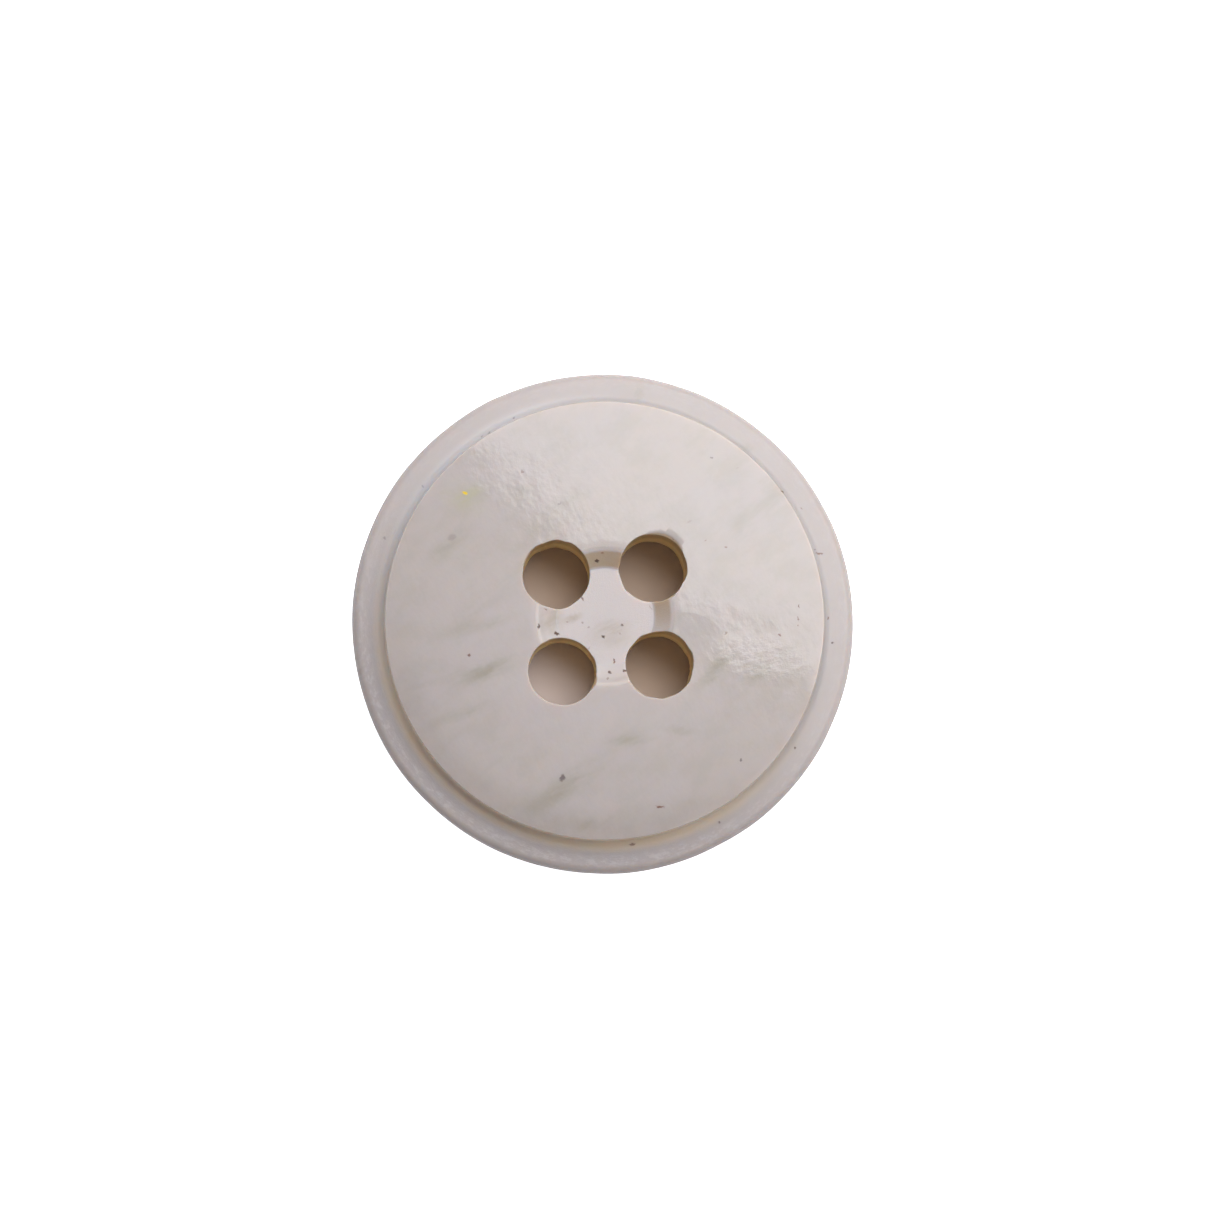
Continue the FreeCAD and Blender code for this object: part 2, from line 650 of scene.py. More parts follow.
class ShaderBench:
    """Builds the node tree of one material."""

    def __init__(self, name: str) -> None:
        """Starts an empty material.

        Args:
            name: the material's name.
        """
        self.material = bpy.data.materials.new(name)
        self.material.use_nodes = True
        self.tree = self.material.node_tree
        self.tree.nodes.clear()

    def node(
        self, kind: str, settings: Mapping[str, Any] | None = None, sockets: Mapping[Any, Any] | None = None
    ) -> bpy.types.Node:
        """Adds a node.

        Args:
            kind: the node's type.
            settings: its settings, which are set before its sockets.
            sockets: values or links of its inputs, by name or by place.

        Returns:
            The node.
        """
        node = self.tree.nodes.new(kind)
        for name, setting in (settings or {}).items():
            setattr(node, name, setting)
        for key, content in (sockets or {}).items():
            if isinstance(content, Value):
                content = content.socket
            if isinstance(content, bpy.types.NodeSocket):
                self.tree.links.new(content, node.inputs[key])
            else:
                node.inputs[key].default_value = content
        return node

    def value(
        self, kind: str, settings: Mapping[str, Any], sockets: Mapping[Any, Any], output: str | int = 0
    ) -> Value:
        """Adds a node and returns one of its outputs as a number.

        Args:
            kind: the node's type.
            settings: its settings.
            sockets: values or links of its inputs.
            output: which output, by name or by place.

        Returns:
            The output.
        """
        return Value(self, self.node(kind, settings, sockets).outputs[output])

    def mapped(
        self,
        place: bpy.types.NodeSocket,
        at: Sequence[float] = (0, 0, 0),
        turn: float = 0.0,
        stretch: Sequence[float] = (1, 1, 1),
    ) -> bpy.types.NodeSocket:
        """Lays a pattern's own axes on the button.

        Args:
            place: the place on the button.
            at: the pattern's centre.
            turn: its turn about +Z, in degrees.
            stretch: its size along its own axes.

        Returns:
            The place in the pattern's own axes.
        """
        sockets = {"Vector": place, "Location": at, "Rotation": (0, 0, math.radians(turn)), "Scale": stretch}
        return self.node("ShaderNodeMapping", {"vector_type": "TEXTURE"}, sockets).outputs[0]

    def noise(
        self, place: bpy.types.NodeSocket, scale: float, detail: float = 2.0, rough: float = 0.5
    ) -> Value:
        """Returns noise from 0 to 1 with so many features to a millimetre."""
        sockets = {"Vector": place, "Scale": scale, "Detail": detail, "Roughness": rough}
        return self.value("ShaderNodeTexNoise", {"noise_dimensions": "3D"}, sockets, "Fac")

    def noise_colour(self, place: bpy.types.NodeSocket, scale: float) -> bpy.types.NodeSocket:
        """Returns noise with three independent parts, each from 0 to 1."""
        sockets = {"Vector": place, "Scale": scale, "Detail": 1.0}
        return self.node("ShaderNodeTexNoise", {}, sockets).outputs["Color"]

    def parts(self, vector: bpy.types.NodeSocket) -> list[Value]:
        """Returns the three parts of a vector."""
        node = self.node("ShaderNodeSeparateXYZ", {}, {0: vector})
        return [Value(self, socket) for socket in node.outputs]

    def joined(self, x: Value, y: Value, z: Value) -> bpy.types.NodeSocket:
        """Returns the vector of three parts."""
        return self.node("ShaderNodeCombineXYZ", {}, {0: x, 1: y, 2: z}).outputs[0]

    def shaken(
        self, place: bpy.types.NodeSocket, noise: bpy.types.NodeSocket, reach: float
    ) -> bpy.types.NodeSocket:
        """Shifts a place by a noise.

        Args:
            place: the place.
            noise: the noise, from 0 to 1 in each part.
            reach: how far the place moves, to either side, where the noise is at its ends.

        Returns:
            The shifted place.
        """
        sockets = {0: noise, 1: (2 * reach, 2 * reach, 2 * reach), 2: (-reach, -reach, -reach)}
        shift = self.node("ShaderNodeVectorMath", {"operation": "MULTIPLY_ADD"}, sockets).outputs[0]
        return self.node("ShaderNodeVectorMath", {"operation": "ADD"}, {0: place, 1: shift}).outputs[0]

    def nearness(self, place: bpy.types.NodeSocket, mark: "Mark", height: float, reach: float = 1.0) -> Value:
        """Returns 1 at a mark's centre and falls evenly to 0 at its edge.

        Args:
            place: the place on the button, in millimetres.
            mark: the mark.
            height: about how high the front is.
            reach: where the edge is, as a share of the mark's size.

        Returns:
            The nearness.
        """
        size = (mark.length / 2 * reach, mark.width / 2 * reach, 1.5 * reach)
        own = self.mapped(place, (mark.x, mark.y, height), mark.turn, size)
        return self.value("ShaderNodeTexGradient", {"gradient_type": "SPHERICAL"}, {"Vector": own}, "Fac")

    def spot(
        self, place: bpy.types.NodeSocket, mark: "Mark", height: float, core: float, reach: float
    ) -> Value:
        """Returns 1 inside a mark on the front and 0 outside it, with a soft edge.

        Args:
            place: the place on the button, in millimetres.
            mark: the mark.
            height: about how high the front is.
            core: the share of its size in which the mark is at its full strength.
            reach: the share of its size at which it has faded out.

        Returns:
            The mark as a mask.
        """
        return self.nearness(place, mark, height, reach).rise(0.0, 1 - core / reach)

    def pores(self, place: bpy.types.NodeSocket, scale: float, size: float, rarity: float) -> Value:
        """Returns 1 in small scattered pores and 0 between them.

        Args:
            place: the place, stretched along the grain.
            scale: cells to a millimetre.
            size: radius of a pore as a share of a cell.
            rarity: the share of the cells that have no pore.

        Returns:
            The pores as a mask.
        """
        cells = self.node("ShaderNodeTexVoronoi", {}, {"Vector": place, "Scale": scale})
        chance = self.parts(cells.outputs["Color"])[0]
        near = Value(self, cells.outputs["Distance"]).fall(size * 0.5, size * 1.3)
        return near * chance.rise(rarity, rarity + 0.02)

    def blend(self, factor: Value | float, first: Any, second: Any) -> bpy.types.NodeSocket:
        """Mixes two colours.

        Args:
            factor: how much of the second.
            first: the first colour, or a link to one.
            second: the second colour, or a link to one.

        Returns:
            The mixed colour.
        """
        opaque = [(*c, 1.0) if isinstance(c, tuple) else c for c in (first, second)]
        sockets = {0: factor, 6: opaque[0], 7: opaque[1]}
        return self.node("ShaderNodeMix", {"data_type": "RGBA"}, sockets).outputs[2]

    def close(self, shader: bpy.types.Node) -> bpy.types.Material:
        """Joins a shader to the material's output and returns the material."""
        self.node("ShaderNodeOutputMaterial", {}, {"Surface": shader.outputs[0]})
        return self.material


class Tint(Enum):
    """What a mark in the bone is coloured with."""

    PORE = (0.085, 0.045, 0.030)
    RUST = (0.19, 0.095, 0.065)
    SHADOW = (0.16, 0.125, 0.12)
    LICHEN = (0.30, 0.275, 0.20)
    SAND = (0.36, 0.30, 0.225)
    YELLOW = (0.72, 0.52, 0.02)
    PRIMROSE = (0.44, 0.42, 0.25)


@dataclass(frozen=True)
class Mark:
    """A pore, fleck or stain on the front. Lengths are in millimetres, the turn in degrees."""

    x: float
    y: float
    length: float
    width: float
    turn: float = 0.0
    strength: float = 1.0


@dataclass(frozen=True)
class Regions:
    """What the finish knows about a place on the button: lengths in millimetres, and masks."""

    place: bpy.types.NodeSocket
    x: Value
    y: Value
    z: Value
    radius: Value
    face_radius: Value  # from the centre that the face was turned about
    well_x: Value
    well_y: Value
    well_radius: Value  # from the centre that the well was turned about
    under: Value  # how deep the place is below the front's surface
    front: Value
    bored: Value
    face: Value
    raised: Value
    well: Value
    polished: Value
    low_side: Value  # from -1 at the side nearest to the light to 1 at the one away from it


@dataclass(frozen=True)
class BoneFinish:
    """Polished ox bone with its clouds, pores and grime, and with painted shade and painted fill light laid
    into its colour.
    """

    outline: TurnedOutline
    holes: Sequence[ThreadHole]
    marks: Mapping[Tint, tuple[Mark, ...]]
    cool_bone: Colour = (0.458, 0.412, 0.392)
    warm_bone: Colour = (0.465, 0.415, 0.385)
    # The lighter bone of the well floor; the same colour also paints fill light on the face's shaded side.
    well_bone_and_fill: Colour = (0.53, 0.48, 0.46)
    rim_bone: Colour = (0.448, 0.404, 0.386)
    bored_bone: Colour = (0.505, 0.352, 0.137)
    deep_bone: Colour = (0.86, 0.68, 0.39)
    # The next five colours paint light and shade into the bone: warm fill light in the step's shaded foot,
    # shade on the well's wall, shade on edges and creases (partly grime too), shade on the rim's lip and
    # shade on the rim.
    groove_warm_fill: Colour = (0.72, 0.58, 0.41)
    well_wall_shade: Colour = (0.43, 0.315, 0.185)
    edge_grime_and_shade: Colour = (0.22, 0.17, 0.13)
    lip_shade: Colour = (0.40, 0.35, 0.32)
    rim_shade: Colour = (0.23, 0.20, 0.20)
    # Pale scuffs on the rim; the same colour also paints fill light in the step's foot on the upper left.
    scuff_and_fill: Colour = (0.58, 0.55, 0.54)
    gloss: float = 0.07
    satin: float = 0.42
    # The strength of a dent is its depth in thousandths of a millimetre.
    dents: tuple[Mark, ...] = (Mark(2.6, -1.2, 3.4, 2.6, 0, 50.0), Mark(5.4, -1.0, 4.4, 2.8, -10, 28.0))
    chattered: Mark = Mark(5.6, -1.75, 4.4, 1.9, -10)

    def material(self) -> bpy.types.Material:
        """Makes the material.

        Returns:
            The material.
        """
        bench = ShaderBench("polished_bone")
        at = self.regions(bench)
        outward = bench.joined(at.x / at.radius * 1.6, at.y / at.radius * 1.6, (at.radius + at.z) * 9.0)
        turned = bench.noise(outward, 1.0, 4.0, 0.65)
        around = bench.joined(at.x / at.radius * 30.0, at.y / at.radius * 30.0, (at.radius + at.z) * 9.0)
        rubbed = bench.noise(around, 1.0, 4.0, 0.7)
        grain = bench.mapped(at.place, turn=27, stretch=(2.8, 1.0, 1.4))
        clouds = bench.noise(grain, 0.42, 5.0, 0.55)

        colour = self.ground(bench, at, clouds)
        colour = self.face_and_well(bench, at, colour)
        colour = self.rim_and_step(bench, at, colour, rubbed, clouds)
        colour = self.hole_walls(bench, at, colour)
        colour = self.marked(bench, at, colour)
        pits = bench.pores(grain, 1.15, 0.045, 0.80)
        colour = bench.blend(pits * 0.75 * (1 - at.bored), colour, Tint.RUST.value)

        smears = bench.noise(bench.mapped(at.place, turn=60, stretch=(2.0, 0.7, 1.0)), 0.8, 3.0)
        rough = self.satin - (self.satin - self.gloss) * at.polished
        rough = rough - 0.10 * at.well * (1 - at.bored) + (smears - 0.5) * 0.10
        matt = (turned * 5.0 + rubbed * 9.0) * (1 - at.polished)
        relief = self.polish_relief(bench, at) * at.polished + matt - pits * 8.0
        bump = bench.node("ShaderNodeBump", {}, {"Strength": 1.0, "Distance": MM * MM, "Height": relief})
        shader = bench.node(
            "ShaderNodeBsdfPrincipled",
            {"subsurface_method": "RANDOM_WALK"},
            {
                "Base Color": colour,
                "Roughness": rough,
                "IOR": 1.46,
                "Specular IOR Level": 0.30,
                "Coat Weight": 0.45,
                "Coat Roughness": 0.38,
                "Coat IOR": 1.5,
                "Subsurface Weight": 0.8,
                "Subsurface Radius": (1.0, 0.6, 0.35),
                "Subsurface Scale": 0.5 * MM,
                "Normal": bump.outputs[0],
            },
        )
        return bench.close(shader)

    def regions(self, bench: ShaderBench) -> Regions:
        """Works out where a place on the button is.

        Args:
            bench: the material's bench.

        Returns:
            The lengths and the masks that the finish is made with.
        """
        cut = self.outline
        top_height = mm(cut.step_top_height)
        foot_radius = mm(cut.step_foot_radius)
        edge_radius = mm(cut.well_edge_radius)
        floor_radius = mm(cut.well_floor_radius)
        floor_height = mm(cut.well_floor_height)
        wall_slope = (mm(cut.dome_height(cut.well_edge_radius)) - floor_height) / (edge_radius - floor_radius)
        hole_x = mm(sum(hole.x for hole in self.holes) / len(self.holes))
        hole_y = mm(max(hole.y for hole in self.holes))
        hole_radius = mm(self.holes[0].radius)

        where = bench.node("ShaderNodeTexCoord").outputs["Object"]
        place = bench.mapped(where, stretch=(MM, MM, MM))
        x, y, z = bench.parts(place)
        radius = x.hypot(y)
        face_radius = (x - mm(cut.face_throw[0])).hypot(y - mm(cut.face_throw[1]))
        well_x, well_y = x - mm(cut.well_throw[0]), y - mm(cut.well_throw[1])
        well_radius = well_x.hypot(well_y)
        to_hole = (abs(x - hole_x) - hole_y).hypot(abs(y) - hole_y)
        front = z.rise(1.3, 1.6)
        bulge = (mm(cut.step_top_radius) ** 2 - well_radius * well_radius) / (2 * mm(cut.dome_radius))
        well_height = (well_radius - floor_radius).most(0.0) * wall_slope + floor_height
        under = (top_height + bulge).least(well_height) - z
        bored = to_hole.fall(hole_radius + 0.05, hole_radius + 0.09) * under.rise(0.02, 0.05)
        face = z.rise(top_height - 0.10, top_height - 0.03)
        face = face * face_radius.fall(foot_radius, foot_radius + 0.04)
        raised = z.rise(2.3, 2.5)
        well = well_radius.fall(edge_radius - 0.02, edge_radius + 0.30) * raised
        polished = face * (1 - well) * (1 - bored)
        low_side = facing(x, y, radius, 240)
        return Regions(
            place, x, y, z, radius, face_radius, well_x, well_y, well_radius,
            under, front, bored, face, raised, well, polished, low_side,
        )

    def ground(self, bench: ShaderBench, at: Regions, clouds: Value) -> bpy.types.NodeSocket:
        """Colours the plain bone.

        Args:
            bench: the material's bench.
            at: where the place is.
            clouds: the slow change from cool to warm along the grain.

        Returns:
            The colour.
        """
        veil_place = bench.mapped(at.place, at=(3.0, 9.0, 1.0), turn=33, stretch=(3.6, 0.9, 1.5))
        veils = bench.noise(veil_place, 0.5, 6.0, 0.6)
        colour = bench.blend(clouds.rise(0.38, 0.62), self.cool_bone, self.warm_bone)
        colour = bench.blend(veils.rise(0.56, 0.74) * 0.30, colour, Tint.LICHEN.value)
        mottle = bench.noise(bench.mapped(at.place, turn=30, stretch=(1.5, 1.0, 1.0)), 1.2, 5.0, 0.62)
        return bench.blend(mottle.rise(0.40, 0.68) * 0.16, colour, Tint.LICHEN.value)

    def face_and_well(
        self, bench: ShaderBench, at: Regions, colour: bpy.types.NodeSocket
    ) -> bpy.types.NodeSocket:
        """Colours the middle of the face and the well, with painted fill light on the face's shaded side and
        painted shade on the well's wall and shoulder.

        Args:
            bench: the material's bench.
            at: where the place is.
            colour: the bone's own colour.

        Returns:
            The colour.
        """
        edge_radius = mm(self.outline.well_edge_radius)
        floor_radius = mm(self.outline.well_floor_radius)
        colour = bench.blend(self.rim_top(at) * 0.8, colour, self.rim_bone)
        # Painted fill light: the middle of the face is lightened on the side away from the light.
        shade_side_fill = at.face_radius.fall(3.0, 7.0) * at.low_side.rise(-0.4, 0.4)
        colour = bench.blend(shade_side_fill * 0.4, colour, self.well_bone_and_fill)
        floor = at.well_radius.fall(edge_radius - 0.08, edge_radius + 0.04) * at.raised
        colour = bench.blend(floor * (1 - at.bored), colour, self.well_bone_and_fill)
        # Painted shade: the well's sloping wall is darkened and warmed on the side away from the light.
        slope = at.well_radius.band(floor_radius + 0.06, edge_radius - 0.10, 0.05) * at.raised
        shaded_side = facing(at.well_x, at.well_y, at.well_radius, 60)
        colour = bench.blend(slope * 0.75 * shaded_side.rise(-0.1, 0.8), colour, self.well_wall_shade)
        # Painted shade: the well's shoulder is darkened on its lower-left side, where it faces the light, to
        # dim its highlight.
        shoulder = at.well_radius.band(edge_radius - 0.20, edge_radius + 0.08, 0.08)
        shoulder = shoulder * shaded_side.fall(-0.7, -0.1) * at.front
        return bench.blend(shoulder * 0.16, colour, self.edge_grime_and_shade)

    def rim_top(self, at: Regions) -> Value:
        """Returns 1 on the matt rim and 0 elsewhere."""
        foot_radius = mm(self.outline.step_foot_radius)
        return at.face_radius.rise(foot_radius, foot_radius + 0.12) * at.front

    def rim_and_step(
        self, bench: ShaderBench, at: Regions, colour: bpy.types.NodeSocket, rubbed: Value, clouds: Value
    ) -> bpy.types.NodeSocket:
        """Colours the rim, the foot of the step and the outer edge, with painted shade on the side away from
        the light, painted fill light in the step's foot, and grime.

        Args:
            bench: the material's bench.
            at: where the place is.
            colour: the colour so far.
            rubbed: the marks of rubbing, which run outwards.
            clouds: the slow change along the grain.

        Returns:
            The colour.
        """
        top_height = mm(self.outline.step_top_height)
        foot_radius = mm(self.outline.step_foot_radius)
        rim_top = self.rim_top(at)
        step_wall = at.z.band(mm(self.outline.rim_height) - 0.2, top_height - 0.03, 0.03)
        low_share = at.low_side.rise(-0.2, 0.9)
        # Painted shade: the rim is darkened on the side away from the light.
        colour = bench.blend(rim_top * 0.34 * at.low_side.rise(-0.1, 0.75), colour, self.rim_shade)
        foot = at.face_radius.fall(foot_radius + 0.04, foot_radius + 0.50)
        foot = foot * at.face_radius.rise(foot_radius - 0.12, foot_radius - 0.04) * step_wall
        # Painted light: the shaded foot of the step on the side away from the light is lifted with a light
        # warm colour, which stands in for light passing through the bone.
        colour = bench.blend(foot * 0.95 * low_share, colour, self.groove_warm_fill)
        # Painted light: the foot of the step is lightened on the upper-left side, where the light only grazes
        # it.
        far_share = facing(at.x, at.y, at.radius, 150).rise(0.3, 0.95) * (1 - low_share)
        colour = bench.blend(foot * 0.75 * far_share, colour, self.scuff_and_fill)
        # The crease at the foot of the step is darkened: partly grime, partly painted shade, strongest on the
        # side toward the light.
        crease = at.face_radius.band(foot_radius - 0.07, foot_radius + 0.04, 0.04) * step_wall
        colour = bench.blend(crease * (0.13 - 0.10 * low_share.most(far_share)), colour, self.edge_grime_and_shade)
        # Painted shade: the outer part of the face is darkened on the side away from the light, where its
        # edge turns down.
        turned_down_shade = at.face_radius.rise(6.5, 7.5) * at.low_side.rise(0.2, 0.9) * at.face
        colour = bench.blend(turned_down_shade * 0.20, colour, self.edge_grime_and_shade)
        scuffs = rubbed.rise(0.46, 0.62) * at.radius.rise(8.2, 8.6) * at.z.rise(1.0, 1.4)
        colour = bench.blend(scuffs * (0.10 + 0.22 * low_share), colour, self.scuff_and_fill)
        # The outer edge below the rim is darkened all round: partly grime, partly painted shade where the
        # edge turns under towards the floor.
        side = at.z.fall(0.8, 1.45) * at.radius.rise(8.3, 8.8)
        colour = bench.blend(side * (0.35 + 0.6 * clouds), colour, self.edge_grime_and_shade)
        # Painted shade: the outer lip of the rim is darkened on the side away from the light.
        lip = at.radius.rise(8.62, 8.85) * rim_top * at.low_side.rise(0.1, 1.0)
        return bench.blend(lip * (0.5 + clouds).least(1.0), colour, self.lip_shade)

    def hole_walls(
        self, bench: ShaderBench, at: Regions, colour: bpy.types.NodeSocket
    ) -> bpy.types.NodeSocket:
        """Colours the walls of the thread holes.

        Args:
            bench: the material's bench.
            at: where the place is.
            colour: the colour outside the holes.

        Returns:
            The colour.
        """
        crumbs = bench.noise(at.place, 7.0, 2.0).rise(0.66, 0.72) * at.bored * at.under.fall(0.3, 0.8)
        wall = bench.blend(at.under.rise(0.8, 1.8), self.bored_bone, self.deep_bone)
        colour = bench.blend(at.bored * (0.55 + 0.40 * at.under.rise(0.05, 0.5)), colour, wall)
        return bench.blend(crumbs * 0.6, colour, Tint.PORE.value)

    def marked(self, bench: ShaderBench, at: Regions, colour: bpy.types.NodeSocket) -> bpy.types.NodeSocket:
        """Lays the listed marks on the front.

        Args:
            bench: the material's bench.
            at: where the place is.
            colour: the colour without them.

        Returns:
            The colour.
        """
        ragged = bench.mapped(bench.shaken(at.place, bench.noise_colour(at.place, 9.0), 0.07))
        streaks = bench.mapped(at.place, turn=24, stretch=(2.6, 0.8, 1.0))
        wisps = 0.25 + 0.75 * bench.noise(streaks, 1.6, 4.0, 0.6).rise(0.36, 0.66)
        flesh = at.front * (1 - at.bored)
        for tint, group in self.marks.items():
            soft = tint in (Tint.LICHEN, Tint.SAND, Tint.PRIMROSE)
            core, reach = (0.0, 1.5) if soft else (0.55, 1.25)
            total: Value | float = 0.0
            for mark in group:
                spot = bench.spot(ragged, mark, mm(self.outline.step_top_height), core, reach)
                total = spot * mark.strength + total
            total = total.least(1.0) * flesh
            if soft:
                total = total * wisps
            colour = bench.blend(total, colour, tint.value)
        return colour

    def polish_relief(self, bench: ShaderBench, at: Regions) -> Value:
        """Works out the unevenness of the polished face.

        Args:
            bench: the material's bench.
            at: where the place is.

        Returns:
            Its height, in thousandths of a millimetre.
        """
        ripple = bench.noise(bench.mapped(at.place, turn=20, stretch=(0.9, 1.4, 1.2)), 2.0, 2.5, 0.5)
        fine = bench.noise(at.place, 6.5, 2.0, 0.5)
        swell = bench.noise(bench.mapped(at.place, turn=35, stretch=(1.0, 1.5, 1.2)), 0.8, 1.0, 0.5)
        relief = swell * 14.0 + ripple * 15.0 + fine * 3.5
        for dent in self.dents:
            relief = relief - bench.nearness(at.place, dent, 3.0) * dent.strength
        chatter = bench.noise(bench.mapped(at.place, turn=15, stretch=(1.6, 1.0, 1.0)), 4.0, 3.0, 0.6)
        return relief + chatter * 22.0 * bench.spot(at.place, self.chattered, 2.8, 0.5, 1.1)


# ---------------------------------------------------------------- the studio


@dataclass(frozen=True)
class Studio:
    """The pale floor, one large soft box, a dim surround and the camera."""

    floor_colour: Colour = (0.90, 0.90, 0.90)
    # Painted shade and painted light on the floor under the button, seen through the thread holes: brown
    # shade beneath it, lighter where light falls in.
    under_button_shade: Colour = (0.44, 0.36, 0.315)
    under_lit_side: Colour = (0.54, 0.485, 0.495)
    light_bearing: float = 51.2  # degrees from +X
    light_lean: float = 30.0  # degrees from straight up
    light_distance: float = 0.5
    light_half_angles: tuple[float, float] = (38.0, 20.5)
    light_radiance: float = 5.4
    surround: Colour = (0.80, 0.82, 1.0)
    surround_strength: float = 0.27
    camera_bearing: float = 246.2
    camera_lean: float = 4.8
    camera_distance: float = 0.150
    camera_up_bearing: float = 86.2
    field_width: float = 43.67 * MM
    aim_right: float = 0.157 * MM
    aim_up: float = 0.606 * MM
    aim_height: float = 1.0 * MM

    @staticmethod
    def direction(bearing: float, lean: float) -> Vector:
        """Returns the direction at a bearing from +X and a lean from +Z, both in degrees."""
        turn, tilt = math.radians(bearing), math.radians(lean)
        return Vector((math.sin(tilt) * math.cos(turn), math.sin(tilt) * math.sin(turn), math.cos(tilt)))

    def lay_floor(self) -> bpy.types.Object:
        """Lays the pale floor that the button lies on, with painted shade beneath the button and a painted
        pool of light where light falls in through the thread holes.

        Returns:
            The floor.
        """
        rest_tools()
        bpy.ops.mesh.primitive_plane_add(size=3.0)
        floor = bpy.context.object
        floor.name = "studio_floor"
        bench = ShaderBench("pale_floor")
        where = bench.node("ShaderNodeTexCoord").outputs["Object"]
        x, y, _ = bench.parts(where)
        radius = x.hypot(y)
        seen = bench.value("ShaderNodeLightPath", {}, {}, "Is Camera Ray")
        # Painted pool of light: the floor under the button is lighter towards the lower left, where light
        # falls in through the holes.
        lit = ((x + y) * (-0.5 / MM)).rise(0.3, 1.7)
        under = bench.blend(lit, self.under_button_shade, self.under_lit_side)
        lift = bench.blend(radius.rise(8.0 * MM, 9.0 * MM) * seen, (0.0, 0.0, 0.0), (1.0, 1.0, 1.0))
        shader = bench.node(
            "ShaderNodeBsdfPrincipled",
            {},
            {
                "Base Color": bench.blend(radius.rise(6.0 * MM, 7.5 * MM), under, self.floor_colour),
                "Roughness": 0.9,
                "Emission Color": lift,
                "Emission Strength": 1.3,
            },
        )
        floor.data.materials.append(bench.close(shader))
        return floor

    def hang_light(self) -> None:
        """Hangs the soft box and sets the dim surround."""
        rest_tools()
        across, along = (math.tan(math.radians(a)) * self.light_distance for a in self.light_half_angles)
        towards = self.direction(self.light_bearing, self.light_lean)
        bpy.ops.object.light_add(type="AREA", location=towards * self.light_distance)
        light = bpy.context.object
        light.name = "soft_box"
        light.data.shape = "ELLIPSE"
        light.data.size = 2 * across
        light.data.size_y = 2 * along
        light.data.energy = self.light_radiance * math.pi * math.pi * across * along
        back = towards.normalized()
        side = Vector((0, 0, 1)).cross(back).normalized()
        up = back.cross(side)
        turn = Matrix((side, up, back)).transposed().to_4x4()
        light.matrix_world = Matrix.Translation(towards * self.light_distance) @ turn
        world = bpy.data.worlds.new("surround")
        world.use_nodes = True
        background = world.node_tree.nodes["Background"]
        background.inputs["Color"].default_value = (*self.surround, 1.0)
        background.inputs["Strength"].default_value = self.surround_strength
        bpy.context.scene.world = world

    def place_camera(self) -> None:
        """Places the camera almost straight above the button."""
        rest_tools()
        back = self.direction(self.camera_bearing, self.camera_lean)
        up_hint = self.direction(self.camera_up_bearing, 90)
        right = up_hint.cross(back).normalized()
        up = back.cross(right)
        target = Vector((0, 0, self.aim_height)) + right * self.aim_right + up * self.aim_up
        bpy.ops.object.camera_add(location=target + back * self.camera_distance)
        camera = bpy.context.object
        camera.name = "studio_camera"
        turn = Matrix((right, up, back)).transposed().to_4x4()
        camera.matrix_world = Matrix.Translation(target + back * self.camera_distance) @ turn
        camera.data.lens = camera.data.sensor_width * self.camera_distance / self.field_width
        camera.data.clip_start = 0.005
        bpy.context.scene.camera = camera
        bpy.context.scene.view_settings.view_transform = "Standard"


# ---------------------------------------------------------------- the whole


